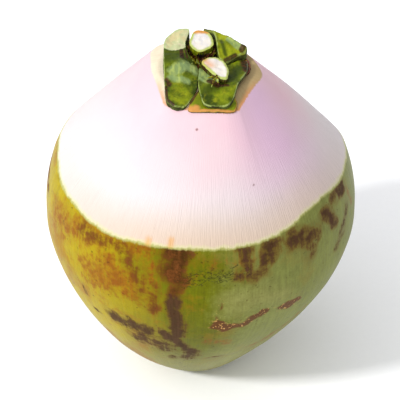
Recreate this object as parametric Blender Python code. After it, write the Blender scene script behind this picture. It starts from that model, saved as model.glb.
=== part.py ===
"""A peeled young coconut, standing on a small flat spot.

The fruit is one solid: a green husk that keeps its skin low down and is cut back to a
white cone above, with the natural crown left round the stalk. On the crown lie the
trimmed leaves of the calyx, the stub of the stalk and a cut bract, each its own piece.
The origin is under the middle of the belly, on the surface the coconut stands on.
+Z runs up to the stalk and the fruit shows its best side towards -Y.
"""

import math

import bmesh
import bpy

MM = 0.001

# The husk: a round body, widest at the belly, leaning a little towards +X at the top.
BELLY_RADIUS = 80.0 * MM
BELLY_HEIGHT = 97.0 * MM
LOWER_REACH = 114.5 * MM
UPPER_REACH = 79.5 * MM
LOWER_CURVE = (1.58, 1.19)
UPPER_CURVE = (2.60, 1.78)
TIP_OFFSET = -8.4 * MM
FOOT_OFFSET = 5.6 * MM
FOOT_HEIGHT = 34.0 * MM
FLAT_ROUNDING = 6.0 * MM
FLAT_TRIM = 4.0 * MM

# Where the knife met the skin: (azimuth in degrees, height) round the fruit.
SKIN_EDGE = [
    (-178, 135.5 * MM), (-160, 131.2 * MM), (-145, 129.6 * MM), (-126, 127.6 * MM),
    (-110, 128.6 * MM), (-95, 130.4 * MM), (-78, 129.2 * MM), (-66, 129.8 * MM),
    (-54, 134.0 * MM), (-38, 137.5 * MM), (-22, 136.4 * MM), (-2, 134.0 * MM),
    (16, 129.0 * MM), (38, 122.0 * MM), (62, 118.0 * MM), (88, 119.0 * MM),
    (115, 124.0 * MM), (140, 130.0 * MM), (162, 135.0 * MM),
]
CUT_BULGE = 0.8 * MM

# The crown that the knife left, as its corners seen from above, and its height.
CROWN_CORNERS = [
    (-25.0 * MM, 15.0 * MM), (-24.0 * MM, -8.0 * MM), (-17.0 * MM, -34.0 * MM),
    (0.0, -38.8 * MM), (17.0 * MM, -38.8 * MM), (31.0 * MM, -10.5 * MM),
    (24.0 * MM, 5.0 * MM), (15.0 * MM, 14.5 * MM), (-4.0 * MM, 26.0 * MM),
    (-20.0 * MM, 28.0 * MM),
]
CROWN_CENTRE = (3.0 * MM, -6.0 * MM)
CROWN_TOP = 192.0 * MM
CROWN_FALL = 7.8
SEAT_HEIGHT = 187.5 * MM

# The calyx: its leaves lie on the crown, and two of the sepals lie on petals.
FIT_GAP = 0.4 * MM
PETAL_THICKNESS = 1.0 * MM
UNDER_SEPAL = FIT_GAP + PETAL_THICKNESS + FIT_GAP
RIM_ROUNDING = 0.5 * MM
CORNER_CUT = 0.2
CORNER_PASSES = 2
UNDERSIDE_RINGS = (0.25, 0.4, 0.5, 0.6, 0.7, 0.8, 0.9, 1.0)
UPPER_RINGS = (0.94, 0.75, 0.5, 0.25)

# The left sepal rises from its front rim to a level cut across its shoulder.
LEFT_RIM = (-37.0 * MM, 186.0 * MM)
LEFT_RISE = 0.36
LEFT_CUT = (-4.0 * MM, 195.8 * MM)
LEFT_CUT_RISE = 0.06

# The front sepal rises gently from its rim to a flat top.
FRONT_RIM = (-38.0 * MM, 187.3 * MM)
FRONT_RISE = 0.38
FRONT_TOP = 191.6 * MM

# The back sepal is highest beside the stalk. It falls off a little towards +X and towards
# the front, and steeply behind a ridge that runs out to its tip.
BACK_TOP = 198.4 * MM
BACK_SHOULDER = 8.0 * MM
BACK_FALL = 0.24
BACK_FRONT_FALL = 0.35
BACK_RIDGE = (7.0 * MM, 10.0 * MM)
BACK_RIDGE_RUN = -0.62
BACK_REAR_FALL = 1.0

# The stalk's stub is an oval, narrow at its foot and cut across at a slant.
STALK_CENTRE = (0.3 * MM, 1.6 * MM)
STALK_TOP = 198.0 * MM
STALK_RADIUS = 6.3 * MM
STALK_FOOT_RADIUS = 4.6 * MM
STALK_DEPTH = 1.17
STALK_TILT = 0.27
STALK_SIDES = 20

# The bract is a half moon that lies on the front sepal, cut through at a slight slant.
BRACT_CUT = (-17.0 * MM, 195.2 * MM)
BRACT_CUT_RISE = 0.10

# How finely the solids are divided.
SIDES = 72
SKIN_ROWS = 24
SKIN_ROW_SPREAD = 1.35
CUT_ROWS = 8
CROWN_ROWS = 6
SHARP_ANGLE = math.radians(35.0)


def belly_offset(height):
    """How far the middle of the fruit stands off its axis, towards +X, at a height."""
    below = max((BELLY_HEIGHT - height) / BELLY_HEIGHT, 0.0)
    foot = max(1.0 - height / FOOT_HEIGHT, 0.0)
    return TIP_OFFSET * below**1.6 + FOOT_OFFSET * foot**2


def skin_radius(height):
    """Radius of the unpeeled fruit, with the edge of the flat spot rounded off."""
    above = height >= BELLY_HEIGHT
    reach = UPPER_REACH if above else LOWER_REACH
    inner, outer = UPPER_CURVE if above else LOWER_CURVE
    along = min(abs(height - BELLY_HEIGHT) / reach, 0.9999)
    radius = BELLY_RADIUS * (1.0 - along ** inner) ** (1.0 / outer)
    return radius - FLAT_TRIM * max(1.0 - height / FLAT_ROUNDING, 0.0) ** 2


def skin_edge_height(azimuth):
    """Height of the skin's upper edge, smooth through the knife's marks."""
    count = len(SKIN_EDGE)
    degrees = math.degrees(azimuth)
    if degrees < SKIN_EDGE[0][0]:
        degrees += 360.0
    after = next((i for i, mark in enumerate(SKIN_EDGE) if mark[0] > degrees), count)
    marks = []
    for i in range(after - 2, after + 2):
        turn = 360.0 * (i // count)
        marks.append((SKIN_EDGE[i % count][0] + turn, SKIN_EDGE[i % count][1]))
    (a0, h0), (a1, h1), (a2, h2), (a3, h3) = marks
    step = a2 - a1
    t = (degrees - a1) / step
    start = (h2 - h0) / (a2 - a0) * step
    end = (h3 - h1) / (a3 - a1) * step
    return (
        h1 * (2 * t**3 - 3 * t**2 + 1)
        + start * (t**3 - 2 * t**2 + t)
        + h2 * (3 * t**2 - 2 * t**3)
        + end * (t**3 - t**2)
    )


def crown_reach(azimuth):
    """Distance from the crown's centre to its edge along an azimuth."""
    dx, dy = math.cos(azimuth), math.sin(azimuth)
    corners = [(x - CROWN_CENTRE[0], y - CROWN_CENTRE[1]) for x, y in CROWN_CORNERS]
    for (ax, ay), (bx, by) in zip(corners, corners[1:] + corners[:1]):
        ex, ey = bx - ax, by - ay
        across = dx * ey - dy * ex
        if abs(across) < 1e-12:
            continue
        distance = (ax * ey - ay * ex) / across
        along = (ax * dy - ay * dx) / across
        if distance > 0.0 and -1e-9 <= along <= 1.0 + 1e-9:
            return distance
    raise ValueError("the crown's outline doesn't close round its centre")


def crown_height(x, y):
    """Height of the crown: a low dome with a level seat for the calyx in its middle."""
    from_centre = (x - CROWN_CENTRE[0]) ** 2 + (y - CROWN_CENTRE[1]) ** 2
    return min(CROWN_TOP - CROWN_FALL * from_centre, SEAT_HEIGHT)


def husk_rows():
    """The fruit's rings, from the flat spot up the skin, over the cut, to the crown."""
    azimuths = [2.0 * math.pi * i / SIDES - math.pi for i in range(SIDES)]
    rows = []
    for step in range(SKIN_ROWS + 1):
        share = (step / SKIN_ROWS) ** SKIN_ROW_SPREAD
        row = []
        for azimuth in azimuths:
            height = skin_edge_height(azimuth) * share
            radius = skin_radius(height)
            x = belly_offset(height) + radius * math.cos(azimuth)
            row.append((x, radius * math.sin(azimuth), height))
        rows.append(row)
    skin_edge = rows[-1]
    crown_edge = []
    for azimuth in azimuths:
        reach = crown_reach(azimuth)
        x = CROWN_CENTRE[0] + reach * math.cos(azimuth)
        y = CROWN_CENTRE[1] + reach * math.sin(azimuth)
        crown_edge.append((x, y, crown_height(x, y)))
    for step in range(1, CUT_ROWS + 1):
        share = step / CUT_ROWS
        bulge = CUT_BULGE * 4.0 * share * (1.0 - share)
        row = []
        for azimuth, low, high in zip(azimuths, skin_edge, crown_edge):
            x, y, z = [a + (b - a) * share for a, b in zip(low, high)]
            x += bulge * math.cos(azimuth)
            y += bulge * math.sin(azimuth)
            row.append((x, y, z + bulge))
        rows.append(row)
    for step in range(CROWN_ROWS - 1, 0, -1):
        share = step / CROWN_ROWS
        row = []
        for x, y, _ in crown_edge:
            x = CROWN_CENTRE[0] + (x - CROWN_CENTRE[0]) * share
            y = CROWN_CENTRE[1] + (y - CROWN_CENTRE[1]) * share
            row.append((x, y, crown_height(x, y)))
        rows.append(row)
    return rows


def as_object(name, model, material):
    """Turns a finished bmesh into the named object with its material."""
    bmesh.ops.triangulate(model, faces=model.faces)
    mesh = bpy.data.meshes.new(name)
    model.to_mesh(mesh)
    model.free()
    mesh.shade_smooth()
    mesh.set_sharp_from_angle(angle=SHARP_ANGLE)
    mesh.materials.append(material)
    solid = bpy.data.objects.new(name, mesh)
    bpy.context.scene.collection.objects.link(solid)
    return solid


def closed_rows(name, rows, bottom, top, material):
    """A closed solid from rings of equal length, fanned to a point at each end."""
    model = bmesh.new()
    low = model.verts.new(bottom)
    rings = [[model.verts.new(point) for point in row] for row in rows]
    high = model.verts.new(top)
    count = len(rings[0])
    for i in range(count):
        j = (i + 1) % count
        model.faces.new((low, rings[0][j], rings[0][i]))
        for lower, upper in zip(rings, rings[1:]):
            model.faces.new((lower[i], lower[j], upper[j], upper[i]))
        model.faces.new((rings[-1][i], rings[-1][j], high))
    return as_object(name, model, material)


def surface(name, colour, roughness):
    """A plain dielectric material."""
    material = bpy.data.materials.new(name)
    material.use_nodes = True
    shader = material.node_tree.nodes["Principled BSDF"]
    shader.inputs["Base Color"].default_value = (*colour, 1.0)
    shader.inputs["Roughness"].default_value = roughness
    shader.inputs["Metallic"].default_value = 0.0
    return material


def rounded_outline(corners):
    """The outline with its corners cut off again and again, so that it turns softly."""
    near = 1.0 - CORNER_CUT
    for _ in range(CORNER_PASSES):
        softer = []
        for (ax, ay), (bx, by) in zip(corners, corners[1:] + corners[:1]):
            softer.append((ax * near + bx * CORNER_CUT, ay * near + by * CORNER_CUT))
            softer.append((ax * CORNER_CUT + bx * near, ay * CORNER_CUT + by * near))
        corners = softer
    return corners


def calyx_leaf(name, corners, underside, top_height, material):
    """A leaf of the calyx: an outline between its underside and its own top surface."""
    outline = rounded_outline([(x * MM, y * MM) for x, y in corners])
    middle = [sum(point[k] for point in outline) / len(outline) for k in range(2)]

    def ring(share, height):
        points = []
        for x, y in outline:
            px = middle[0] + (x - middle[0]) * share
            py = middle[1] + (y - middle[1]) * share
            points.append((px, py, height(px, py)))
        return points

    def rim(x, y):
        return top_height(x, y) - RIM_ROUNDING

    rows = [ring(share, underside) for share in UNDERSIDE_RINGS]
    rows.append(ring(1.0, rim))
    rows += [ring(share, top_height) for share in UPPER_RINGS]
    bottom = (*middle, underside(*middle))
    top = (*middle, top_height(*middle))
    return closed_rows(name, rows, bottom, top, material)


def on_crown(x, y):
    """Underside of a leaf that lies straight on the crown."""
    return crown_height(x, y) + FIT_GAP


def on_petals(x, y):
    """Underside of a sepal that lies on the petals."""
    return crown_height(x, y) + UNDER_SEPAL


def left_sepal_top(x, y):
    """Height of the left sepal's outer side and of the cut across its shoulder."""
    slope = LEFT_RIM[1] + LEFT_RISE * (y - LEFT_RIM[0])
    cut = LEFT_CUT[1] + LEFT_CUT_RISE * (y - LEFT_CUT[0])
    return min(slope, cut)


def front_sepal_top(x, y):
    """Height of the front sepal's outer side."""
    return min(FRONT_RIM[1] + FRONT_RISE * (y - FRONT_RIM[0]), FRONT_TOP)


def back_sepal_top(x, y):
    """Height of the back sepal's outer side."""
    ridge = BACK_RIDGE[1] + BACK_RIDGE_RUN * (x - BACK_RIDGE[0])
    height = BACK_TOP - BACK_FALL * max(x - BACK_SHOULDER, 0.0)
    height -= BACK_FRONT_FALL * max(-y, 0.0)
    return height - BACK_REAR_FALL * max(y - ridge, 0.0)


def petal_top(x, y):
    """A petal is a thin plate that follows the crown."""
    return crown_height(x, y) + FIT_GAP + PETAL_THICKNESS


def stalk_stub(material):
    """The stalk's stub, standing on the crown's seat."""
    rows = []
    for share in (0.0, 0.25, 0.6, 0.93, 1.0):
        radius = STALK_FOOT_RADIUS + (STALK_RADIUS - STALK_FOOT_RADIUS) * share**0.7
        if share == 1.0:
            radius -= RIM_ROUNDING
        row = []
        for i in range(STALK_SIDES):
            angle = 2.0 * math.pi * i / STALK_SIDES
            x = STALK_CENTRE[0] + radius * math.cos(angle)
            y = STALK_CENTRE[1] + radius * STALK_DEPTH * math.sin(angle)
            foot = crown_height(x, y) + FIT_GAP
            cut = STALK_TOP + STALK_TILT * (y - STALK_CENTRE[1])
            row.append((x, y, foot + (cut - foot) * share))
        rows.append(row)
    bottom = (*STALK_CENTRE, crown_height(*STALK_CENTRE) + FIT_GAP)
    return closed_rows("stalk_stub", rows, bottom, (*STALK_CENTRE, STALK_TOP), material)


def on_front_sepal(x, y):
    """Underside of the bract, which lies on the front sepal."""
    return front_sepal_top(x, y) + FIT_GAP


def bract_top(x, y):
    """Height of the cut that the bract shows its core on."""
    return BRACT_CUT[1] + BRACT_CUT_RISE * (y - BRACT_CUT[0])


for leftover in list(bpy.data.objects):
    bpy.data.objects.remove(leftover, do_unlink=True)

husk_surface = surface("husk_surface", (0.62, 0.60, 0.36), 0.45)
calyx_green = surface("calyx_green", (0.17, 0.26, 0.03), 0.45)
petal_olive = surface("petal_olive", (0.30, 0.30, 0.07), 0.55)
cut_flesh = surface("cut_flesh", (0.85, 0.83, 0.66), 0.55)

rings = husk_rows()
foot_middle = (belly_offset(0.0), 0.0, 0.0)
closed_rows("coconut", rings, foot_middle, (*CROWN_CENTRE, SEAT_HEIGHT), husk_surface)

calyx_leaf(
    "left_sepal",
    [(-16.8, -32.6), (-12.4, -36.6), (-7.4, -37.2), (-1.9, -28.6), (-1.1, -12), (-6.8, -4),
     (-7.4, 5), (-4.6, 14.5), (-11, 14.6), (-18, 6), (-17.8, -10)],
    on_crown, left_sepal_top, calyx_green,
)
calyx_leaf(
    "front_sepal",
    [(-1.0, -28), (1.5, -38), (12.6, -38.2), (15.6, -34), (18, -24), (22.6, -14),
     (22.8, -6), (18.4, -5.4), (12.2, -10.8), (4, -8.8), (-0.6, -12)],
    on_petals, front_sepal_top, calyx_green,
)
calyx_leaf(
    "back_sepal",
    [(8.8, -7), (12.3, -9.4), (17.6, -4.2), (22.8, -1.6), (21.5, 4.5), (16, 9), (11, 13),
     (4.5, 16.5), (0.8, 16), (5.4, 11.8), (7.4, 7.6)],
    on_petals, back_sepal_top, calyx_green,
)
calyx_leaf(
    "front_petal",
    [(-6.8, -38.6), (0, -39.2), (16.2, -38.7), (17.6, -33), (12, -25), (1, -20), (-1.0, -28)],
    on_crown, petal_top, petal_olive,
)
calyx_leaf(
    "right_petal",
    [(14, -7), (19, -17), (23.8, -12), (24.2, -4), (21.5, 3), (14.5, 2)],
    on_crown, petal_top, petal_olive,
)
calyx_leaf(
    "back_petal",
    [(-4, 12), (7, 12), (11, 14.5), (5, 20), (-4, 20), (-4.4, 17)],
    on_crown, petal_top, petal_olive,
)
stalk_stub(cut_flesh)
calyx_leaf(
    "cut_bract",
    [(3, -17.4), (6.6, -22.6), (10, -25.4), (12.6, -25.6), (13.6, -19), (11.6, -13),
     (8, -9.8), (3.6, -9.6), (0.2, -12.8)],
    on_front_sepal, bract_top, cut_flesh,
)
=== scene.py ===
import math
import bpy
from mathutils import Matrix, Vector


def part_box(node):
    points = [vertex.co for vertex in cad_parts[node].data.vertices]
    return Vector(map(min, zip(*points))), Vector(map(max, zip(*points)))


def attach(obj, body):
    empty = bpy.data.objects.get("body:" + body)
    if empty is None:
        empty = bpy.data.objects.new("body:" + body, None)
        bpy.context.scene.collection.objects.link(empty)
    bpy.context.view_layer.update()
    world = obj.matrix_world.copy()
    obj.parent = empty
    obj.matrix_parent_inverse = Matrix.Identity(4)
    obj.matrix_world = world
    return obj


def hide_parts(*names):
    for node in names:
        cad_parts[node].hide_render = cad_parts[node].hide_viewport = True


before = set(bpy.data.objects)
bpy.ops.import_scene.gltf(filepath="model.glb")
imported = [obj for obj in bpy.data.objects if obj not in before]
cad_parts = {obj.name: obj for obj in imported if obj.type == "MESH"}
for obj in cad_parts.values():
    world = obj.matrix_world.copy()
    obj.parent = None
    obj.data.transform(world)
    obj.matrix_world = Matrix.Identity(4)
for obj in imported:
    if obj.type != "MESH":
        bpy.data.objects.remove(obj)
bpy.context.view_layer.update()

from types import SimpleNamespace

import bpy
import numpy as np
from mathutils import Vector, noise

# ---------------------------------------------------------------------------------------
# The coconut. One grown piece: a green husk that keeps its skin low down and is pared
# with a knife to a white cone above, round the natural crown that carries the calyx.
# Its shape follows a rule, so a node tree lays its rows from the flat foot to the crown.
# ---------------------------------------------------------------------------------------

coconut_low, coconut_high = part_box("coconut")
MM = (coconut_high[0] - coconut_low[0]) / 160.0

BELLY_RADIUS = 80.0 * MM
BELLY_HEIGHT = 97.0 * MM
LOWER_REACH = 114.5 * MM
UPPER_REACH = 79.5 * MM
LOWER_CURVE = (1.58, 1.19)
UPPER_CURVE = (2.60, 1.78)
TIP_OFFSET = -8.4 * MM
FOOT_OFFSET = 5.6 * MM
FOOT_HEIGHT = 34.0 * MM
FLAT_ROUNDING = 6.0 * MM
FLAT_TRIM = 4.0 * MM

# Where the knife met the skin: (azimuth in degrees, height in millimetres) all round.
SKIN_EDGE = [
    (-178, 135.5), (-160, 131.2), (-145, 129.6), (-126, 127.6), (-110, 128.6),
    (-95, 129.9), (-78, 129.0), (-66, 129.4), (-54, 132.0), (-38, 134.6), (-22, 133.4),
    (-2, 131.8), (16, 128.4), (38, 122.0), (62, 118.0), (88, 119.0), (115, 124.0),
    (140, 130.0), (162, 135.0),
]
CROWN_CORNERS = [
    (-25, 15), (-24, -8), (-17, -34), (0, -38.8), (17, -38.8), (31, -10.5), (24, 5),
    (15, 14.5), (-4, 26), (-20, 28),
]
CROWN_CENTRE = (3.0 * MM, -6.0 * MM)
CROWN_TOP = 192.0 * MM
CROWN_FALL = 7.8 / (MM * 1000.0)
SEAT_HEIGHT = coconut_high[2]
CUT_BULGE = 0.8 * MM

SIDES = 384
FOOT_ROWS, SKIN_ROWS, CUT_ROWS, CROWN_ROWS = 6, 112, 100, 30
SAME_PLACE = 0.002 * MM
SEAM = math.radians(90.0)


def linear(red, green, blue):
    """A colour given in screen values from 0 to 255, as the shader's linear numbers."""
    shares = [value / 255.0 for value in (red, green, blue)]
    lights = [s / 12.92 if s <= 0.04045 else ((s + 0.055) / 1.055) ** 2.4 for s in shares]
    return (*lights, 1.0)


def feed(tree, socket, value):
    """Gives a node's input a value, or links it to what flows from another node."""
    if isinstance(value, Flow):
        tree.links.new(value.socket, socket)
    else:
        socket.default_value = value


def add(tree, kind, inputs=(), **settings):
    """Adds a node, sets it up and feeds its inputs, given as {name or number: value}."""
    made = tree.nodes.new(kind)
    for name, value in settings.items():
        setattr(made, name, value)
    for key, value in dict(inputs).items():
        feed(tree, made.inputs[key], value)
    return made


def flow(tree, kind, inputs=(), output=0, **settings):
    """Adds a node and gives what flows from one of its outputs."""
    return Flow(tree, add(tree, kind, inputs, **settings).outputs[output])


class Flow:
    """What flows out of a node. Arithmetic on it adds Math nodes to its tree."""

    def __init__(self, tree, socket):
        self.tree = tree
        self.socket = socket

    def math(self, operation, *others, clamp=False):
        values = enumerate((self, *others))
        return flow(self.tree, "ShaderNodeMath", values, operation=operation, use_clamp=clamp)

    def vector(self, operation, other, output=0):
        values = {0: self, 1: other}
        return flow(self.tree, "ShaderNodeVectorMath", values, output, operation=operation)

    def scaled(self, factor):
        values = {0: self, "Scale": factor}
        return flow(self.tree, "ShaderNodeVectorMath", values, operation="SCALE")

    def flipped(self, operation, other):
        return flow(self.tree, "ShaderNodeMath", {0: other, 1: self}, operation=operation)

    def __add__(self, other):
        return self.math("ADD", other)

    def __sub__(self, other):
        return self.math("SUBTRACT", other)

    def __rsub__(self, other):
        return self.flipped("SUBTRACT", other)

    def __mul__(self, other):
        return self.math("MULTIPLY", other)

    def __truediv__(self, other):
        return self.math("DIVIDE", other)

    def __pow__(self, other):
        return self.math("POWER", other)

    __radd__ = __add__
    __rmul__ = __mul__

    def ramp(self, low, high, start=0.0, end=1.0):
        """Rises softly from start to end while the flow goes from low to high."""
        values = {"Value": self, "From Min": low, "From Max": high, "To Min": start, "To Max": end}
        soft = {"interpolation_type": "SMOOTHSTEP"}
        return flow(self.tree, "ShaderNodeMapRange", values, "Result", **soft)

    def sway(self, reach):
        """A noise from 0 to 1, turned into one that swings up and down round 0."""
        return (self - 0.5) * reach

    def part(self, letter):
        """The X, Y or Z of a vector."""
        return flow(self.tree, "ShaderNodeSeparateXYZ", {0: self}, letter)


def combine(tree, x, y, z):
    """A vector from three numbers."""
    return flow(tree, "ShaderNodeCombineXYZ", {0: x, 1: y, 2: z})


def new_tree(name, sizes):
    """A geometry tree whose named inputs carry the given sizes, with their Flows."""
    tree = bpy.data.node_groups.new(name, "GeometryNodeTree")
    tree.is_modifier = True
    sockets = {}
    for label, value in sizes.items():
        kind = "NodeSocketInt" if isinstance(value, int) else "NodeSocketFloat"
        sockets[label] = tree.interface.new_socket(name=label, in_out="INPUT", socket_type=kind)
    tree.interface.new_socket(name="Geometry", in_out="OUTPUT", socket_type="NodeSocketGeometry")
    entry = tree.nodes.new("NodeGroupInput")
    flows = {label: Flow(tree, entry.outputs[label]) for label in sizes}
    return tree, flows, sockets


def in_scene(name, data):
    """A new object in the scene."""
    made = bpy.data.objects.new(name, data)
    bpy.context.scene.collection.objects.link(made)
    return made


def grown(tree, geometry, material, sockets, sizes, name):
    """Closes a geometry tree and returns what it makes as a plain mesh object."""
    realised = flow(tree, "GeometryNodeRealizeInstances", {0: geometry})
    finished = flow(tree, "GeometryNodeSetMaterial", {0: realised, "Material": material})
    feed(tree, tree.nodes.new("NodeGroupOutput").inputs[0], finished)
    holder = in_scene(name + "_source", bpy.data.meshes.new(name + "_source"))
    modifier = holder.modifiers.new("Grow", "NODES")
    modifier.node_group = tree
    for label, value in sizes.items():
        modifier[sockets[label].identifier] = value
    bpy.context.view_layer.update()
    evaluated = holder.evaluated_get(bpy.context.evaluated_depsgraph_get())
    mesh = bpy.data.meshes.new_from_object(evaluated)
    holder.modifiers.remove(modifier)
    bpy.data.objects.remove(holder)
    mesh.name = name
    return in_scene(name, mesh)


def round_curve(tree, turn, points, low, high):
    """A number that follows a drawn curve all round the fruit, from its seam back to it."""
    drawn = add(tree, "ShaderNodeFloatCurve", {"Value": turn})
    curve = drawn.mapping.curves[0]
    while len(curve.points) > 2:
        curve.points.remove(curve.points[1])
    curve.points[0].location = (0.0, (points[0][1] - low) / (high - low))
    curve.points[-1].location = (1.0, (points[-1][1] - low) / (high - low))
    for share, value in points[1:-1]:
        curve.points.new(share, (value - low) / (high - low))
    drawn.mapping.update()
    return Flow(tree, drawn.outputs[0]) * (high - low) + low


def seam_share(azimuth_degrees):
    """How far round from the seam an azimuth lies, from 0 to 1."""
    return ((azimuth_degrees - math.degrees(SEAM)) % 360.0) / 360.0


def edge_points():
    """The skin's edge as (share round from the seam, height), closed on itself."""
    marks = sorted((seam_share(azimuth), height * MM) for azimuth, height in SKIN_EDGE)
    first, last = marks[0], marks[-1]
    gap = first[0] + 1.0 - last[0]
    at_seam = last[1] + (first[1] - last[1]) * (1.0 - last[0]) / gap
    return [(0.0, at_seam), *marks, (1.0, at_seam)]


def crown_reach(azimuth):
    """Distance from the crown's centre to its edge along an azimuth in radians."""
    dx, dy = math.cos(azimuth), math.sin(azimuth)
    corners = [(x * MM - CROWN_CENTRE[0], y * MM - CROWN_CENTRE[1]) for x, y in CROWN_CORNERS]
    for (ax, ay), (bx, by) in zip(corners, corners[1:] + corners[:1]):
        ex, ey = bx - ax, by - ay
        across = dx * ey - dy * ex
        if abs(across) < 1e-12:
            continue
        distance = (ax * ey - ay * ex) / across
        along = (ax * dy - ay * dx) / across
        if distance > 0.0 and -1e-6 <= along <= 1.0 + 1e-6:
            return distance
    raise ValueError("the crown's outline doesn't close round its centre")


def crown_points(steps=60, soften=math.radians(7.0)):
    """The crown's edge as (share round from the seam, distance), its corners rounded."""
    points = []
    for step in range(steps + 1):
        azimuth = step / steps * 2.0 * math.pi + SEAM
        reaches = [crown_reach(azimuth + soften * part) for part in (-1.0, 0.0, 0.0, 1.0)]
        points.append((step / steps, sum(reaches) / len(reaches)))
    return points


def skin_radius_flow(height, size):
    """Radius of the unpared fruit at a height, as nodes."""
    above = height.math("GREATER_THAN", size["Belly height"])

    def either(low, high):
        return above * (high - low) + low

    reach = either(LOWER_REACH, UPPER_REACH)
    inner = either(LOWER_CURVE[0], UPPER_CURVE[0])
    outer = either(LOWER_CURVE[1], UPPER_CURVE[1])
    along = ((height - size["Belly height"]) / reach).math("ABSOLUTE").math("MINIMUM", 0.9999)
    radius = size["Belly radius"] * (1.0 - along**inner) ** (outer.flipped("DIVIDE", 1.0))
    trim = (1.0 - height / FLAT_ROUNDING).math("MAXIMUM", 0.0) ** 2.0 * FLAT_TRIM
    return radius - trim


def belly_offset_flow(height, size):
    """How far the middle of the fruit stands off its axis at a height, as nodes."""
    below = (1.0 - height / size["Belly height"]).math("MAXIMUM", 0.0)
    foot = (1.0 - height / FOOT_HEIGHT).math("MAXIMUM", 0.0)
    return below**1.6 * TIP_OFFSET + foot**2.0 * FOOT_OFFSET


def coconut_body(material):
    """The fruit's rows, laid over a grid that is rolled up round the axis."""
    rows = FOOT_ROWS + SKIN_ROWS + CUT_ROWS + CROWN_ROWS
    sizes = {
        "Belly radius": BELLY_RADIUS,
        "Belly height": BELLY_HEIGHT,
        "Lumps": 0.9 * MM,
        "Sides": SIDES + 1,
        "Rows": rows + 1,
    }
    tree, size, sockets = new_tree("Coconut body", sizes)
    flat = {"Size X": 1.0, "Size Y": 1.0, "Vertices X": size["Sides"], "Vertices Y": size["Rows"]}
    body = flow(tree, "GeometryNodeMeshGrid", flat, "Mesh")
    place = flow(tree, "GeometryNodeInputPosition")
    turn = place.part("X") + 0.5
    row = (place.part("Y") + 0.5) * float(rows)
    azimuth = turn * (2.0 * math.pi) + SEAM
    cosine, sine = azimuth.math("COSINE"), azimuth.math("SINE")

    def share(first, count):
        return ((row - float(first)) / float(count)).math("ADD", 0.0, clamp=True)

    foot = share(0, FOOT_ROWS)
    skin = share(FOOT_ROWS, SKIN_ROWS)
    cut = share(FOOT_ROWS + SKIN_ROWS, CUT_ROWS)
    crown = share(FOOT_ROWS + SKIN_ROWS + CUT_ROWS, CROWN_ROWS)

    def on_skin(height, spread=1.0):
        radius = skin_radius_flow(height, size) * spread
        x = belly_offset_flow(height, size) + radius * cosine
        return combine(tree, x, radius * sine, height)

    edge_height = round_curve(tree, turn, edge_points(), 110.0 * MM, 140.0 * MM)
    skin_place = on_skin(edge_height * skin**1.35, foot)
    edge_place = on_skin(edge_height)
    reach = round_curve(tree, turn, crown_points(), 20.0 * MM, 45.0 * MM)

    def on_crown(distance):
        height = (CROWN_TOP - distance * distance * CROWN_FALL).math("MINIMUM", SEAT_HEIGHT)
        x = distance * cosine + CROWN_CENTRE[0]
        return combine(tree, x, distance * sine + CROWN_CENTRE[1], height)

    rim_place = on_crown(reach)
    bulge = cut * (1.0 - cut) * (4.0 * CUT_BULGE)
    outward = combine(tree, bulge * cosine, bulge * sine, bulge)
    span = rim_place.vector("SUBTRACT", edge_place).scaled(cut)
    ruled = edge_place.vector("ADD", span).vector("ADD", outward)
    is_cut = cut.math("GREATER_THAN", 0.0)
    is_crown = crown.math("GREATER_THAN", 0.0)

    def choose(test, no, yes):
        return flow(tree, "ShaderNodeMix", {0: test, 4: no, 5: yes}, 1, data_type="VECTOR")

    final = choose(is_crown, choose(is_cut, skin_place, ruled), on_crown(reach * (1.0 - crown)))
    from_edge = final.vector("DISTANCE", edge_place, output=1) * (is_cut * 2.0 - 1.0)
    from_rim = final.vector("DISTANCE", rim_place, output=1) * (is_crown * 2.0 - 1.0)
    grain = combine(tree, cosine, sine, from_edge / BELLY_RADIUS)

    for name, kind, value in (
        ("from_edge", "FLOAT", from_edge),
        ("from_rim", "FLOAT", from_rim),
        ("grain", "FLOAT_VECTOR", grain),
    ):
        values = {"Geometry": body, "Name": name, "Value": value}
        body = flow(tree, "GeometryNodeStoreNamedAttribute", values, data_type=kind)
    body = flow(tree, "GeometryNodeSetPosition", {"Geometry": body, "Position": final})
    body = flow(tree, "GeometryNodeMergeByDistance", {"Geometry": body, "Distance": SAME_PLACE})
    here = flow(tree, "GeometryNodeInputPosition")
    lumps = flow(tree, "ShaderNodeTexNoise", {"Vector": here, "Scale": 26.0, "Detail": 2.0})
    lift = lumps.sway(size["Lumps"]) * here.part("Z").ramp(2.0 * MM, 16.0 * MM)
    push = flow(tree, "GeometryNodeInputNormal").scaled(lift)
    body = flow(tree, "GeometryNodeSetPosition", {"Geometry": body, "Offset": push})
    body = flow(tree, "GeometryNodeSetShadeSmooth", {0: body})
    return grown(tree, body, material, sockets, sizes, "coconut_body")


def new_material(name):
    """A material with its tree and its shader."""
    material = bpy.data.materials.new(name)
    material.use_nodes = True
    tree = material.node_tree
    return material, tree, tree.nodes["Principled BSDF"]


def object_place(tree):
    """Where a point lies in the object's own space."""
    return flow(tree, "ShaderNodeTexCoord", output="Object")


def painted(tree, name, output="Fac"):
    """An attribute that the mesh carries."""
    return flow(tree, "ShaderNodeAttribute", output=output, attribute_name=name)


def cloud(vector, scale, detail=3.0, stretch=(1.0, 1.0, 1.0), rough=0.5, warp=0.0):
    """Soft noise from 0 to 1 along a vector, which may be stretched."""
    values = {"Vector": vector.vector("MULTIPLY", stretch), "Scale": scale, "Detail": detail}
    values |= {"Roughness": rough, "Distortion": warp}
    return flow(vector.tree, "ShaderNodeTexNoise", values)


def blend(factor, low, high):
    """A colour between two others."""
    return flow(factor.tree, "ShaderNodeMix", {0: factor, 6: low, 7: high}, 2, data_type="RGBA")


def shade(factor, colour):
    """A colour made lighter or darker by a number."""
    values = {0: colour if isinstance(colour, Flow) else colour[:3], "Scale": factor}
    return flow(factor.tree, "ShaderNodeVectorMath", values, operation="SCALE")


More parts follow.
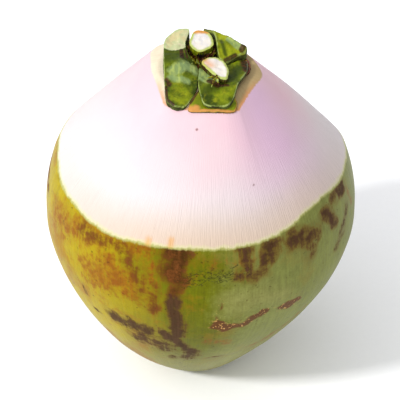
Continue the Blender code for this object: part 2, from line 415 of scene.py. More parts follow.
def surface(shader, colour, rough, specular, relief, depth, strength):
    """Gives a shader its colour and gloss, and a relief from 0 to 1 times a depth in metres."""
    tree = relief.tree
    feed(tree, shader.inputs["Base Color"], colour)
    feed(tree, shader.inputs["Roughness"], rough)
    shader.inputs["Specular IOR Level"].default_value = specular
    values = {"Height": relief, "Distance": depth, "Strength": strength}
    feed(tree, shader.inputs["Normal"], flow(tree, "ShaderNodeBump", values))


SKIN_YELLOW = linear(166, 150, 10)
SKIN_GREEN = linear(92, 102, 0)
SKIN_GREY = linear(120, 130, 66)
SKIN_PALE = linear(142, 144, 84)
OCHRE = linear(142, 92, 8)
RUST = linear(128, 64, 12)
BROWN = linear(54, 26, 5)
BROWN_EDGE = linear(104, 68, 8)
PURPLE = linear(60, 36, 28)
SCAR = linear(92, 48, 20)
SPLIT_DARK = linear(44, 40, 10)
GLINT = linear(206, 160, 90)
RIM = linear(200, 196, 146)
RIM_GREEN = linear(146, 150, 66)
HUSK_WHITE = linear(208, 199, 198)
HUSK_BLUSH = linear(216, 182, 188)
HUSK_LILAC = linear(210, 176, 198)
HUSK_CREAM = linear(198, 174, 150)
TONGUE = linear(204, 146, 62)
CROWN_CREAM = linear(220, 206, 180)
CROWN_TAN = linear(168, 146, 104)
CROWN_EDGE = linear(196, 132, 84)
CALYX_SHADE = linear(30, 20, 8)
HUB = (2.0 * MM, -2.0 * MM)


def skin_patterns(tree):
    """The places, distances and noises that the fruit's colours are drawn from."""
    here = object_place(tree)
    grain = painted(tree, "grain", "Vector")
    on = SimpleNamespace(here=here, grain=grain)
    on.edge = painted(tree, "from_edge") / MM
    on.rim = painted(tree, "from_rim") / MM
    on.across = grain.part("X")
    on.front = 0.0 - grain.part("Y")
    on.height = here.part("Z") / MM
    on.fine = cloud(grain, 60.0, 4.0, (1.0, 1.0, 0.07))
    on.fibre = cloud(grain, 170.0, 2.0, (1.0, 1.0, 0.04))
    on.broad = cloud(here, 32.0, 4.0, rough=0.6)
    on.mottle = cloud(here, 240.0, 5.0, rough=0.65)
    on.crumbs = cloud(here, 900.0, 3.0, rough=0.6)
    on.border = on.edge + (on.broad.sway(5.0) + on.mottle.sway(3.0) + on.fine.sway(1.2))
    return on


def skin_colour(tree, on):
    """Yellow to grey green skin with its stains, and the fields of its darkest marks."""
    fine, broad, mottle, crumbs = on.fine, on.broad, on.mottle, on.crumbs
    side = on.across + broad.sway(0.5) + mottle.sway(0.3)
    skin = blend(side.ramp(-0.14, -0.66), SKIN_GREEN, SKIN_YELLOW)
    skin = blend(side.ramp(0.02, 0.40), skin, SKIN_GREY)
    low = (on.height + broad.sway(40.0)).ramp(66.0, 20.0)
    skin = blend(low * 0.8, skin, SKIN_PALE)
    skin = blend(painted(tree, "pale") * 0.75, skin, SKIN_PALE)
    skin = shade(fine.sway(0.5) + broad.sway(0.4) + mottle.sway(0.7) + crumbs.sway(0.4) + 1.0, skin)
    ragged = mottle.sway(2.0) + fine.sway(0.9) + crumbs.sway(0.5)

    def patch(name, low, high, spread=1.0):
        """Where a mark shows: its painted field, broken up along the skin's grain."""
        field = painted(tree, name)
        return (field + ragged * spread * field.ramp(0.0, 0.35)).ramp(low, high)

    stained = (cloud(on.here, 42.0, 5.0, rough=0.72) + ragged * 0.10 - side * 0.06).ramp(0.50, 0.66)
    skin = blend(stained * side.ramp(0.45, -0.5, 0.15, 0.65), skin, shade(mottle * 0.8 + 0.6, OCHRE))
    rusty = blend(mottle.ramp(0.4, 0.6), OCHRE, RUST)
    skin = blend(patch("rust", 0.0, 0.95) * 0.85, skin, shade(crumbs * 0.9 + 0.55, rusty))
    skin = blend(patch("brown", -0.15, 0.45, 0.7) * 0.75, skin, BROWN_EDGE)
    brown = patch("brown", 0.10, 0.85)
    burnt = blend(side.ramp(-0.1, 0.3), blend(mottle.ramp(0.36, 0.62), BROWN, SCAR), PURPLE)
    burnt = shade(fine.sway(1.6) + crumbs.sway(1.6) + mottle.sway(1.0) + 1.0, burnt)
    skin = blend(brown * 0.9, skin, burnt)
    skin = blend(patch("purple", -0.15, 0.5, 0.7) * 0.55, skin, BROWN_EDGE)
    purple = patch("purple", 0.08, 0.80)
    skin = blend(purple * 0.85, skin, shade(fine.sway(1.8) + crumbs.sway(0.6) + 1.0, PURPLE))
    split = cloud(on.here, 150.0, 5.0, (1.0, 1.0, 1.6), rough=0.7)
    open_split = ((split - 0.5).math("ABSOLUTE") + crumbs.sway(0.04)).ramp(0.020, 0.002)
    crack = open_split * (painted(tree, "crack") + mottle.sway(1.2)).ramp(0.35, 0.7)
    skin = blend(crack * 0.85, skin, SPLIT_DARK)
    skin = blend(cloud(on.here, 420.0, 2.0).ramp(0.66, 0.74) * 0.5, skin, BROWN)
    scar = (painted(tree, "scar") + ragged * 0.35).ramp(0.25, 0.6)
    skin = blend(scar * 0.9, skin, shade(crumbs * 1.2 + 0.4, SCAR))
    glints = painted(tree, "scar") * cloud(on.here, 700.0, 2.0).ramp(0.60, 0.66)
    return blend(glints, skin, GLINT), brown, purple, crack


def husk_colour(tree, on):
    """Pared husk: white, blushing towards the crown and creamy towards the skin."""
    blush = (0.0 - on.rim).ramp(60.0, 2.0) * (0.95 + on.broad.sway(1.4))
    husk = blend(blush, HUSK_WHITE, HUSK_BLUSH)
    # Lilac on the front right of the cone, rising towards the crown: partly the husk's own tint,
    # partly painted shade on the side away from the key light.
    husk = blend(painted(tree, "lilac") * (0.9 + on.broad.sway(0.6)), husk, HUSK_LILAC)
    cream = on.border.ramp(26.0, 1.0) * (on.front * 0.80 + on.across * 0.05 + 0.05)
    husk = blend(cream.math("MAXIMUM", 0.0), husk, HUSK_CREAM)
    threads = on.fibre.ramp(0.40, 0.70) * on.edge.ramp(40.0, 1.0) * (on.across * 0.4 + 0.6)
    husk = shade(1.0 - threads * 0.07, husk)
    husk = blend(painted(tree, "dot").ramp(0.35, 0.8) * 0.7, husk, SCAR)
    husk = blend(on.border.ramp(2.8, 0.9) * 0.65, husk, RIM)
    husk = blend(on.border.ramp(1.2, 0.1) * 0.75, husk, RIM_GREEN)
    return blend((painted(tree, "tongue") + on.fine.sway(0.8)).ramp(0.1, 1.0) * 0.6, husk, TONGUE)


def crown_colour(on):
    """The unpared crown: cream on one side, tan on the other, browned at its edge."""
    crown = blend((on.across + on.broad.sway(0.5)).ramp(-0.35, 0.15), CROWN_CREAM, CROWN_TAN)
    crown = shade(on.fine.sway(0.35) + on.mottle.sway(0.25) + 1.0, crown)
    dried = (on.rim + on.fine.sway(3.0)).ramp(3.6, 0.2) * on.front.ramp(0.2, 0.9)
    return blend(dried * 0.8, crown, CROWN_EDGE)


def coconut_material():
    """Skin, pared husk and crown, told apart by how far a point lies from each edge."""
    material, tree, shader = new_material("coconut_husk")
    on = skin_patterns(tree)
    skin, brown, purple, crack = skin_colour(tree, on)
    body = blend(on.border.ramp(0.4, -1.0), husk_colour(tree, on), skin)
    body = blend((on.rim + on.fine.sway(1.6)).ramp(-0.6, 0.5), body, crown_colour(on))
    hub = combine(tree, *HUB, SEAT_HEIGHT)
    # Painted shade: the crown turns near black within about 16 to 20 mm of the hub, in the shadow
    # under the calyx.
    calyx_shade = (on.here.vector("DISTANCE", hub, output=1) / MM).ramp(20.0, 16.0)
    body = blend(calyx_shade, body, CALYX_SHADE)
    pared = on.border.ramp(-0.2, 0.6)
    rough = 0.40 + on.mottle.sway(0.25) + brown * 0.25 + purple * 0.2 + pared * 0.18
    rough = rough.math("MINIMUM", 0.85)
    skin_relief = on.fine * 0.5 + on.mottle * 0.35 - brown * 0.25 - crack * 0.5
    husk_relief = on.fibre * on.edge.ramp(60.0, 0.0, 0.25, 1.0) * 0.9 + on.mottle * 0.15
    relief = skin_relief * (1.0 - pared) + husk_relief * pared
    surface(shader, body, rough, 0.06, relief, depth=0.45 * MM, strength=0.7)
    return material


# Marks of age and handling on the skin, by kind. Each is a stroke: half width in millimetres,
# strength, and the places it runs through as (azimuth in degrees, height in millimetres).
MARKS = {
    "rust": [
        (13, 0.75, [(-154, 114), (-141, 118), (-125, 123), (-112, 125)]),
        (17, 1, [(-132, 100), (-122, 108), (-115, 102)]),
        (7, 0.7, [(-112, 104), (-110, 94)]),
        (6, 0.8, [(-108, 120), (-107, 104), (-108, 90)]),
        (9, 0.35, [(-90, 122), (-78, 121), (-66, 121)]),
        (5, 0.6, [(-17, 126), (-14, 112)]),
        (6, 0.6, [(-83, 65), (-79, 64)]),
        (3, 0.8, [(-66, 48), (-52, 56), (-40, 68)]),
        (13, 0.5, [(20, 112), (34, 104), (46, 108)]),
        (12, 0.6, [(138, 104), (150, 98), (156, 86)]),
    ],
    "brown": [
        (4, 0.6, [(-106, 104), (-108, 90)]),
        (6, 0.5, [(-138, 121), (-126, 123), (-118, 122)]),
        (6, 0.5, [(-118, 122), (-113, 112), (-112, 102)]),
        (9, 1.5, [(-101.5, 127), (-98.5, 127), (-99.5, 115)]),
        (4.5, 1.1, [(-98, 112), (-99, 102)]),
        (5.5, 0.95, [(-74, 126), (-73, 117)]),
        (6, 0.6, [(-77, 113), (-72, 111), (-66, 113)]),
        (7.5, 1.2, [(-62, 125), (-65, 118)]),
        (9, 0.85, [(-52, 124), (-47, 121)]),
        (6, 0.45, [(-49, 117), (-47, 111)]),
        (6, 1.1, [(-38, 128), (-34, 124), (-33, 119)]),
        (5, 1, [(-30, 130), (-25, 130), (-20, 129)]),
        (9, 0.8, [(60, 112), (68, 104)]),
        (4, 0.9, [(72, 78), (88, 84), (104, 80)]),
        (10, 0.75, [(128, 120), (140, 116)]),
        (5, 0.8, [(176, 126), (-172, 118)]),
    ],
    "purple": [
        (2.2, 0.9, [(-139, 86), (-137, 73), (-132, 69), (-125, 70)]),
        (8, 1.15, [(-125, 76), (-118, 74), (-112, 69)]),
        (12, 0.7, [(-113, 62), (-106, 58)]),
        (6.5, 1.2, [(-99.5, 98), (-98, 86), (-97, 74)]),
        (6, 1.2, [(-104, 72), (-98, 68), (-95, 56), (-93, 48)]),
        (6, 0.5, [(-22, 117), (-27, 108), (-30, 102)]),
        (4, 0.5, [(-100, 44), (-88, 42), (-76, 42)]),
        (7, 0.8, [(118, 100), (124, 84), (122, 66)]),
        (5, 0.8, [(30, 70), (44, 62), (58, 64)]),
    ],
    "crack": [
        (9, 0.9, [(-96, 111), (-88, 116), (-82, 114), (-75, 116)]),
    ],
    "scar": [
        (5.6, 1.25, [(-83, 83), (-80, 80), (-74, 81), (-67, 83)]),
        (4.6, 1.15, [(-69, 83), (-60, 84), (-52, 85)]),
        (2.4, 0.6, [(-83.5, 98), (-84, 92), (-83, 86)]),
    ],
    "pale": [
        (13, 0.9, [(-79, 97), (-70, 97), (-62, 96)]),
        (14, 0.7, [(90, 66), (104, 62)]),
    ],
    "dot": [
        (1.6, 1, [(-97, 177)]),
        (1.8, 0.8, [(-66, 153)]),
    ],
    "tongue": [
        (3.4, 0.9, [(-109.5, 129), (-109.5, 131)]),
        (3.4, 1, [(-101, 130), (-101, 132.6)]),
    ],
}


def to_stroke(places, points):
    """How far each place lies from a line through the points."""
    nearest = np.linalg.norm(places - points[0], axis=1)
    for start, end in zip(points, points[1:]):
        run = end - start
        share = np.clip((places - start) @ run / (run @ run), 0.0, 1.0)
        foot = start + share[:, None] * run
        nearest = np.minimum(nearest, np.linalg.norm(places - foot, axis=1))
    return nearest


def paint_attribute(mesh, name, values):
    """Gives a mesh a number at each of its points."""
    layer = mesh.attributes.new(name, "FLOAT", "POINT")
    layer.data.foreach_set("value", np.asarray(values, dtype=np.float32))


def mesh_places(mesh):
    """The places of a mesh's points, one row each."""
    flat = np.empty(len(mesh.vertices) * 3)
    mesh.vertices.foreach_get("co", flat)
    return flat.reshape(-1, 3)


FIRM_MARKS = ("crack", "dot", "tongue")
BROAD_WANDER = 4.2 * MM
SMALL_WANDER = 2.4 * MM
LILAC_AZIMUTH, LILAC_SPREAD = -42.0, 24.0
LILAC_FOOT, LILAC_RISE = 132.0, 30.0
noise.seed_set(4)


def wander(place):
    """How far a mark's outline strays at a place, in broad and in small waves."""
    broad = noise.noise_vector(place * 60.0) * BROAD_WANDER
    return broad + noise.noise_vector(place * 170.0) * SMALL_WANDER


def mark_skin(mesh):
    """Paints the fields that the marks are drawn from."""
    places = mesh_places(mesh)
    flat = np.empty(len(mesh.vertices) * 3)
    mesh.attributes["grain"].data.foreach_get("vector", flat)
    azimuths = np.degrees(np.arctan2(flat[1::3], flat[0::3]))
    wandering = places + np.array([wander(Vector(place)) for place in places])

    def turned(azimuth):
        return np.abs((azimuths - azimuth + 180.0) % 360.0 - 180.0)

    for name, strokes in MARKS.items():
        field = np.zeros(len(places))
        for width, strength, stroke in strokes:
            points = []
            for azimuth, height in stroke:
                miss = turned(azimuth) + np.abs(places[:, 2] / MM - height)
                points.append(places[np.argmin(miss)])
            away = to_stroke(places if name in FIRM_MARKS else wandering, points)
            field = np.maximum(field, np.clip(1.0 - away / (width * MM), 0.0, 1.0) * strength)
        paint_attribute(mesh, name, field)
    # The lilac field: partly the husk's own tint, partly painted shade on the side away from the key
    # light.
    risen = np.clip((places[:, 2] / MM - LILAC_FOOT) / LILAC_RISE, 0.0, 1.0)
    lilac = np.exp(-((turned(LILAC_AZIMUTH) / LILAC_SPREAD) ** 2)) * risen
    paint_attribute(mesh, "lilac", lilac)


coconut = coconut_body(coconut_material())
mark_skin(coconut.data)
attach(coconut, "root")
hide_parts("coconut")

# ---------------------------------------------------------------------------------------
# The sepals. Three thick green leaves of the calyx, grown on the crown and lying on it.
# The knife trimmed them when the fruit was pared, so their sides and tops show cut flesh.
# ---------------------------------------------------------------------------------------

# Size and depth of the waves that nick an edge. The leaves swell by the gap between them.
NICKS = ((2.4 * MM, 0.25 * MM), (0.9 * MM, 0.15 * MM))
LEAF_GAP = 0.3 * MM
SHARP_FROM = math.radians(50.0)


def closed_solid(name, rings, first, last, material, fields):
    """A closed mesh object from rings of points, with a point at each end.

    Each field holds a number for every point, in the order first, rings, last.
    """
    count = len(rings[0])
    points = np.vstack([[first], *rings, [last]])
    top = len(points) - 1
    faces = []
    for i in range(count):
        j = (i + 1) % count
        faces.append((0, 1 + j, 1 + i))
        for row in range(len(rings) - 1):
            low = 1 + row * count
            faces.append((low + i, low + j, low + count + j, low + count + i))
        faces.append((top - count + i, top - count + j, top))
    mesh = bpy.data.meshes.new(name)
    mesh.from_pydata([tuple(point) for point in points], [], faces)
    mesh.shade_smooth()
    mesh.set_sharp_from_angle(angle=SHARP_FROM)
    mesh.materials.append(material)
    for label, values in fields.items():
        paint_attribute(mesh, label, values)
    return in_scene(name, mesh)


def outline_in(node, corners, passes=2, cut=0.17, count=180):
    """An outline with rounded corners, evenly divided and fitted to a node's box."""
    for _ in range(passes):
        softer = []
        for (ax, ay), (bx, by) in zip(corners, corners[1:] + corners[:1]):
            softer.append((ax + (bx - ax) * cut, ay + (by - ay) * cut))
            softer.append((bx + (ax - bx) * cut, by + (ay - by) * cut))
        corners = softer
    loop = np.array(corners + corners[:1])
    lengths = np.concatenate([[0.0], np.cumsum(np.linalg.norm(np.diff(loop, axis=0), axis=1))])
    steps = np.linspace(0.0, lengths[-1], count, endpoint=False)
    even = np.stack([np.interp(steps, lengths, loop[:, k]) for k in range(2)], axis=1)
    low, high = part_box(node)
    low, high = np.array(low)[:2], np.array(high)[:2]
    share = (even - even.min(axis=0)) / (even.max(axis=0) - even.min(axis=0))
    fitted = low + share * (high - low)
    flat = np.column_stack([fitted, np.zeros(count)])
    nicks = sum(np.abs(roughen(flat, size, depth)) for size, depth in NICKS)
    inward = fitted.mean(axis=0) - fitted
    inward /= np.linalg.norm(inward, axis=1)[:, None]
    return fitted + inward * (nicks - LEAF_GAP)[:, None]


def crown_heights(places):
    """Height of the crown under each place."""
    away = ((places[:, :2] - np.array(CROWN_CENTRE)) ** 2).sum(axis=1)
    return np.minimum(CROWN_TOP - CROWN_FALL * away, SEAT_HEIGHT)


def roughen(places, size, depth):
    """A small uneven height for each place, in waves of the given size."""
    waves = [noise.noise(Vector(place) / size) for place in places]
    return np.array(waves) * depth


def flat_fade(places, stroke, width, strength=1.0):
    """A field that fades away from a line drawn on the plan, in millimetres."""
    flat = np.column_stack([places[:, :2] / MM, np.zeros(len(places))])
    points = [np.array((x, y, 0.0)) for x, y in stroke]
    return np.clip(1.0 - to_stroke(flat, points) / width, 0.0, 1.0) * strength


# The walls' share of the underside's painted shade and roughness, and the depth in millimetres that
# the flesh material paints shade by.
WALL_SIDE = 0.85
WALL_DEPTH = 6.0
WALL_SWELL = 0.25 * MM
WALL_WAVES = (1.6 * MM, 0.18 * MM)
BROAD_WAVES = (5.5 * MM, 0.7 * MM)
FINE_WAVES = (2.0 * MM, 0.30 * MM)


def leaf(name, node, corners, lift, top_height, material, dabs, rows=34, edge_round=0.45):
    """A leaf of the calyx, from its underside up to its own top.

    It lies at a lift in millimetres over the crown, or on what a lift function gives.
    """
    outline = outline_in(node, corners)
    middle = outline.mean(axis=0)
    reach = np.linalg.norm(outline - middle, axis=1)
    count = len(outline)

    def ring(share):
        return middle + (outline - middle) * share

    def deep(share):
        flat = ring(share)
        under = lift(flat) if callable(lift) else crown_heights(flat) + lift * MM
        return np.column_stack([flat, under])

    def high(share):
        flat = ring(share)
        inset = reach * (1.0 - share) / MM
        drop = edge_round * np.clip(1.0 - inset / edge_round, 0.0, 1.0) ** 2
        height = top_height(flat / MM) * MM - drop * MM
        points = np.column_stack([flat, height])
        points[:, 2] += roughen(points, *BROAD_WAVES) * min(1.0, 3.0 * (1.0 - share))
        points[:, 2] += roughen(points, *FINE_WAVES)
        return points

    shares = 1.0 - np.linspace(0.0, 1.0, rows + 1)[:-1] ** 1.25
    lower = [deep(share) for share in (0.5, 1.0)]
    upper = [high(share) for share in shares]
    wall = []
    for part in (0.2, 0.4, 0.6, 0.8):
        between = lower[-1] * (1.0 - part) + upper[0] * part
        swell = WALL_SWELL * math.sin(part * math.pi)
        outward = (outline - middle) / reach[:, None]
        between[:, :2] += outward * (swell + roughen(between, *WALL_WAVES)[:, None])
        wall.append(between)
    rings = lower + wall + upper
    first = deep(0.0)[0]
    last = high(0.0)[0]
    places = np.vstack([[first], *rings, [last]])
    hidden = 1 + count * len(lower)
    walled = hidden + count * len(wall)
    side = np.zeros(len(places))
    side[:hidden] = 1.0
    side[hidden:walled] = WALL_SIDE
    insets = [reach * (1.0 - share) / MM for share in shares]
    inset = np.concatenate([np.zeros(walled), *insets, [reach.max() / MM]])
    fields = {"side": side, "inset": inset, "depth": side * WALL_DEPTH}
    for label in ("cut", "pale", "dark", "brown", "gold", "orange"):
        fields[label] = np.zeros(len(places))
    for label, width, strength, stroke in dabs:
        fade = flat_fade(places, stroke, width, strength)
        kept = 1.0 if label == "pale" else 1.0 - side
        fields[label] = np.maximum(fields[label], fade * kept)
    return closed_solid(name, rings, first, last, material, fields)


LEAF_GREEN = linear(100, 114, 0)
LEAF_DARK = linear(48, 62, 0)
LEAF_OLIVE = linear(124, 122, 10)
LEAF_YELLOW = linear(138, 146, 14)
LEAF_PALE = linear(154, 168, 92)
LEAF_SLICE = linear(120, 140, 88)
LEAF_BROWN = linear(70, 34, 14)
CUT_CREAM = linear(206, 196, 160)
CUT_GREEN = linear(166, 180, 126)
CUT_TAN = linear(212, 182, 134)
ORANGE_EDGE = linear(188, 132, 66)
# Near black: dried places, and painted shade on walls and in crevices.
DRIED_AND_SHADE_DARK = linear(26, 17, 5)


def leaf_material(name, young, old, edge_colour):
    """A leathery calyx leaf: green with darker clouds, a thin edge, cut places, and painted shade on
    its walls and underside.
    """
    material, tree, shader = new_material(name)
    here = object_place(tree)
    clouds = cloud(here, 110.0, 4.0, rough=0.6)
    ribs = cloud(here, 420.0, 3.0, (1.0, 0.22, 1.0), warp=0.6)
    crumbs = cloud(here, 1100.0, 3.0, rough=0.6)
    blots = cloud(here, 300.0, 4.0, rough=0.65, warp=0.5)
    ragged = clouds.sway(1.2) + blots.sway(1.2) + crumbs.sway(0.4)

    def dab(name, spread, low, high):
        """Where a dab of colour shows, with a ragged border."""
        return (painted(tree, name) + ragged * spread).ramp(low, high)

    colour = blend(clouds.ramp(0.36, 0.64), old, young)
    colour = blend(blots.ramp(0.50, 0.68) * 0.6, colour, LEAF_OLIVE)
    colour = shade(ribs.sway(0.9) + blots.sway(0.7) + crumbs.sway(0.4) + 1.0, colour)
    colour = blend(dab("dark", 0.4, 0.15, 0.8) * 0.85, colour, LEAF_DARK)
    colour = blend(dab("gold", 0.5, 0.2, 0.8) * 0.8, colour, LEAF_YELLOW)
    pale = dab("pale", 0.5, 0.2, 0.7)
    colour = blend(pale * 0.85, colour, blend(ribs.ramp(0.4, 0.65), LEAF_SLICE, LEAF_PALE))
    inset = painted(tree, "inset") + crumbs.sway(0.4)
    worn = blots.ramp(0.40, 0.58, 0.15, 1.0)
    colour = blend(inset.ramp(0.55, 0.1) * worn * 0.85, colour, edge_colour)
    cut = (painted(tree, "cut") + crumbs.sway(0.12)).ramp(0.10, 0.22)
    rind = (painted(tree, "inset") + blots.sway(2.0)).ramp(2.2, 0.4)
    flesh = blend((clouds * 0.5 + blots * 0.5).ramp(0.40, 0.56) * 0.7, CUT_CREAM, CUT_GREEN)
    flesh = blend(clouds.ramp(0.54, 0.70) * 0.5, flesh, CUT_TAN)
    flesh = shade(ribs.sway(0.4) + 1.0, blend(rind, flesh, CUT_GREEN))
    colour = blend(dab("orange", 0.4, 0.2, 0.8), colour, ORANGE_EDGE)
    colour = blend(cut, colour, flesh)
    rim = painted(tree, "cut") + crumbs.sway(0.1)
    lip = rim.ramp(0.02, 0.10) * rim.ramp(0.20, 0.12)
    colour = blend(lip * 0.7, colour, LEAF_DARK)
    # Brown dabs: dried places, and on the front petal a line of painted shadow under the left
    # sepal's edge.
    dried = blend(crumbs.ramp(0.4, 0.6), DRIED_AND_SHADE_DARK, LEAF_BROWN)
    colour = blend(dab("brown", 0.5, 0.15, 0.75) * 0.9, colour, dried)
    # Painted shade: walls and underside turn dark green to near black where they lie in shadow,
    # except where a pale slice runs over a wall.
    side = painted(tree, "side").ramp(0.35, 0.85) * (1.0 - pale)
    colour = blend(side * 0.85, colour, blend(blots.ramp(0.42, 0.60), DRIED_AND_SHADE_DARK, LEAF_DARK))
    rough = 0.42 + crumbs.sway(0.3) + cut * 0.2 + side * 0.3
    relief = ribs * 0.5 + blots * 0.3 + crumbs * 0.2
    surface(shader, colour, rough, 0.14, relief, depth=0.6 * MM, strength=0.8)
    return material


# Heights are in millimetres over the floor, for places (x, y) in millimetres on the plan.
SHOULDER_CUT = 195.7
PLATE_TOP = 191.4
PLATE_TIP, PLATE_RISE = (-38.0, 187.3), 0.38
BACK_TOP = 198.2
FOLD_HEIGHT, FOLD_WIDTH = 1.3, 1.5


def left_sepal_height(flat):
    """Rises from the front to a level cut across its shoulder, and was sliced to the right."""
    x, y = flat[:, 0], flat[:, 1]
    slope = 186.0 + 0.36 * (y + 37.0) - 0.012 * (x + 11.0) ** 2
    cut = SHOULDER_CUT + 0.06 * (y + 4.0)
    sliced = PLATE_TOP + 0.3 - 0.42 * (x + 1.0) + 0.45 * np.maximum(y + 8.0, 0.0)
    return np.minimum(np.minimum(slope, cut), sliced)


def front_sepal_height(flat):
    """A gently rising plate, level under the bract."""
    return np.minimum(PLATE_TIP[1] + PLATE_RISE * (flat[:, 1] - PLATE_TIP[0]), PLATE_TOP)


def back_sepal_height(flat):
    """Highest beside the stalk, with a folded tip towards +X."""
    x, y = flat[:, 0], flat[:, 1]
    past_ridge = y - (10.0 - 0.62 * (x - 7.0))
    height = BACK_TOP - 0.24 * np.maximum(x - 8.0, 0.0) - 0.52 * np.maximum(-y, 0.0)
    height -= np.maximum(past_ridge, 0.0)
    tip = np.clip((x - 10.0) / 4.0, 0.0, 1.0)
    return height + FOLD_HEIGHT * np.exp(-(((past_ridge + 1.2) / FOLD_WIDTH) ** 2)) * tip


sepal_green = leaf_material("sepal_green", LEAF_GREEN, LEAF_DARK, LEAF_PALE)
sepal_yellow = leaf_material("sepal_yellow", LEAF_YELLOW, LEAF_GREEN, LEAF_PALE)

# Each sepal's lift over the crown, height, material, outline, and dabs of colour, which are
# strokes on the plan: name, half width in millimetres, strength, and places it runs through.
SEPALS = {
    "left_sepal": (
        0.4, left_sepal_height, sepal_green,
        [(-16.8, -32.6), (-12.4, -36.6), (-7.4, -37.2), (-1.9, -28.6), (-0.9, -20), (-0.9, -12),
         (-6.8, -4), (-7.4, 5), (-4.6, 14.5), (-11, 14.6), (-18, 6), (-17.8, -10)],
        [("cut", 10, 1, [(-13, 5), (-11, 13)]),
         ("dark", 8, 1, [(-16, -8), (-6, -9)]),
         ("pale", 5.5, 1, [(-13, -17), (-7, -14), (-2, -16)]),
         ("pale", 3, 0.8, [(-15, -21), (-6, -23)]),
         ("gold", 6, 0.6, [(-13, -32), (-9, -34), (-6, -30)]),
         ("brown", 1.6, 1.3, [(-9.4, -3.4), (-9, -9)]),
         ("brown", 1, 0.9, [(-7.6, -3), (-6.4, -8)]),
         ("brown", 2.2, 1, [(-16.5, -22), (-15, -25)]),
         ("brown", 1.2, 1.1, [(-16.6, -26), (-16.2, -33), (-13, -36)])],
    ),
    "front_sepal": (
        1.8, front_sepal_height, sepal_green,
        [(-1, -28), (1.5, -38), (12.6, -38.2), (15.6, -34), (18, -24), (22.6, -14),
         (22.8, -6), (18.4, -5.4), (12.2, -10.8), (4, -8.8), (-1, -11), (-1, -20)],
        [("pale", 5.5, 1.4, [(-1, -17), (3, -21), (5, -22)]),
         ("dark", 5, 0.9, [(3, -30), (15, -22), (19, -12)]),
         ("gold", 5, 0.45, [(5, -35), (12, -35), (15, -30)]),
         ("brown", 2.6, 1.4, [(4.5, -23.5), (8, -26.5)]),
         ("brown", 1.6, 1, [(8, -27), (13, -27)]),
         ("brown", 3, 1.1, [(21, -7), (22, -14)])],
    ),
    "back_sepal": (
        1.8, back_sepal_height, sepal_yellow,
        [(8.8, -7), (12.3, -9.4), (17.6, -4.2), (22.8, -1.6), (21.5, 4.5), (16, 9), (11, 13),
         (4.5, 16.5), (0.8, 16), (5.4, 11.8), (7.4, 7.6)],
        [("pale", 2.6, 1.2, [(14, 3), (18, 0)]),
         ("dark", 3, 1.2, [(17, 6), (22, 2)]),
         ("brown", 2, 1.1, [(20, -1.5), (22, 1)]),
         ("brown", 1.6, 1, [(12, -8), (17, -4.5)]),
         ("dark", 2, 0.9, [(10, 2), (12, -5)]),
         ("brown", 5, 0.9, [(2, 17), (11, 13)])],
    ),
}
for node, (lift, height, finish, corners, dabs) in SEPALS.items():
    sepal = leaf(node + "_leaf", node, corners, lift, height, finish, dabs)
    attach(sepal, "root")
    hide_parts(node)

# ---------------------------------------------------------------------------------------
# The petals. Three thin inner leaves, pressed flat between the crown and the sepals.
# Only their edges show, browned where the air has dried them, with a line of painted shadow on the
# front one under the left sepal.
# ---------------------------------------------------------------------------------------

PETAL_RED = linear(116, 54, 24)
PETAL_RED_EDGE = linear(150, 80, 44)
PETAL_THICKNESS = 1.0
PETAL_LIFT = 0.4
petal_olive = leaf_material("petal_olive", LEAF_OLIVE, LEAF_GREEN, ORANGE_EDGE)
petal_red = leaf_material("petal_red", PETAL_RED, LEAF_BROWN, PETAL_RED_EDGE)


def petal_height(flat):
    """A petal follows the crown, in millimetres."""
    return crown_heights(flat * MM) / MM + PETAL_LIFT + PETAL_THICKNESS


# Places where a petal has dried, and a line of painted shadow under the left sepal, as dabs of
# colour.
DRIED_EDGES_AND_SHADOW = [
    ("orange", 3.4, 1.2, [(-8, -37), (-5, -39), (-2, -38)]),
    ("orange", 1.2, 0.95, [(-2, -38.8), (16, -38.6)]),
    # Painted shadow: a brown line along the left sepal's lower right edge, where it lies over the
    # front petal.
    ("brown", 1.7, 1.4, [(-5.0, -34.4), (-3.4, -31.6), (-1.6, -28.6)]),
]
PETALS = {
    "front_petal": (petal_olive, [(-6.8, -38.6), (0, -39.2), (16.2, -38.7), (17.6, -33), (12, -25),
                                  (1, -20), (-1.6, -28), (-5.1, -33.3)]),
    "right_petal": (petal_red, [(14, -7), (19, -17), (23.8, -12), (24.2, -4), (21.5, 3), (14.5, 2)]),
    "back_petal": (petal_olive, [(-4, 12), (7, 12), (11, 14.5), (5, 20), (-4, 20), (-4.4, 17)]),
}
for node, (finish, corners) in PETALS.items():
    petal = leaf(node + "_leaf", node, corners, PETAL_LIFT, petal_height, finish, DRIED_EDGES_AND_SHADOW, rows=16)
    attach(petal, "root")
    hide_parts(node)

# ---------------------------------------------------------------------------------------
# The stalk's stub and the bract. The stalk was cut through just above the fruit, and the
# bract in front of it was sliced with it, so both show pale wet flesh inside a green rind.
# ---------------------------------------------------------------------------------------

STUB_FLESH = linear(204, 200, 200)
BRACT_FLESH = linear(212, 205, 198)
FLESH_CREAM = linear(216, 208, 194)
FLESH_RIM = linear(166, 176, 92)
FLESH_ORANGE = linear(200, 128, 56)
STUB_TILT = 0.27
STUB_NECK = 0.74
STUB_SHARE = 0.96
STUB_LOBES = ((0.035, 3.0, 0.6), (0.03, 5.0, 1.9))
STUB_ROWS = 16
STUB_FACE_WAVES = (1.8 * MM, 0.25 * MM)
STUB_SIDE_WAVES = (1.5 * MM, 0.22 * MM)
FOOT_LIFT = 0.4 * MM


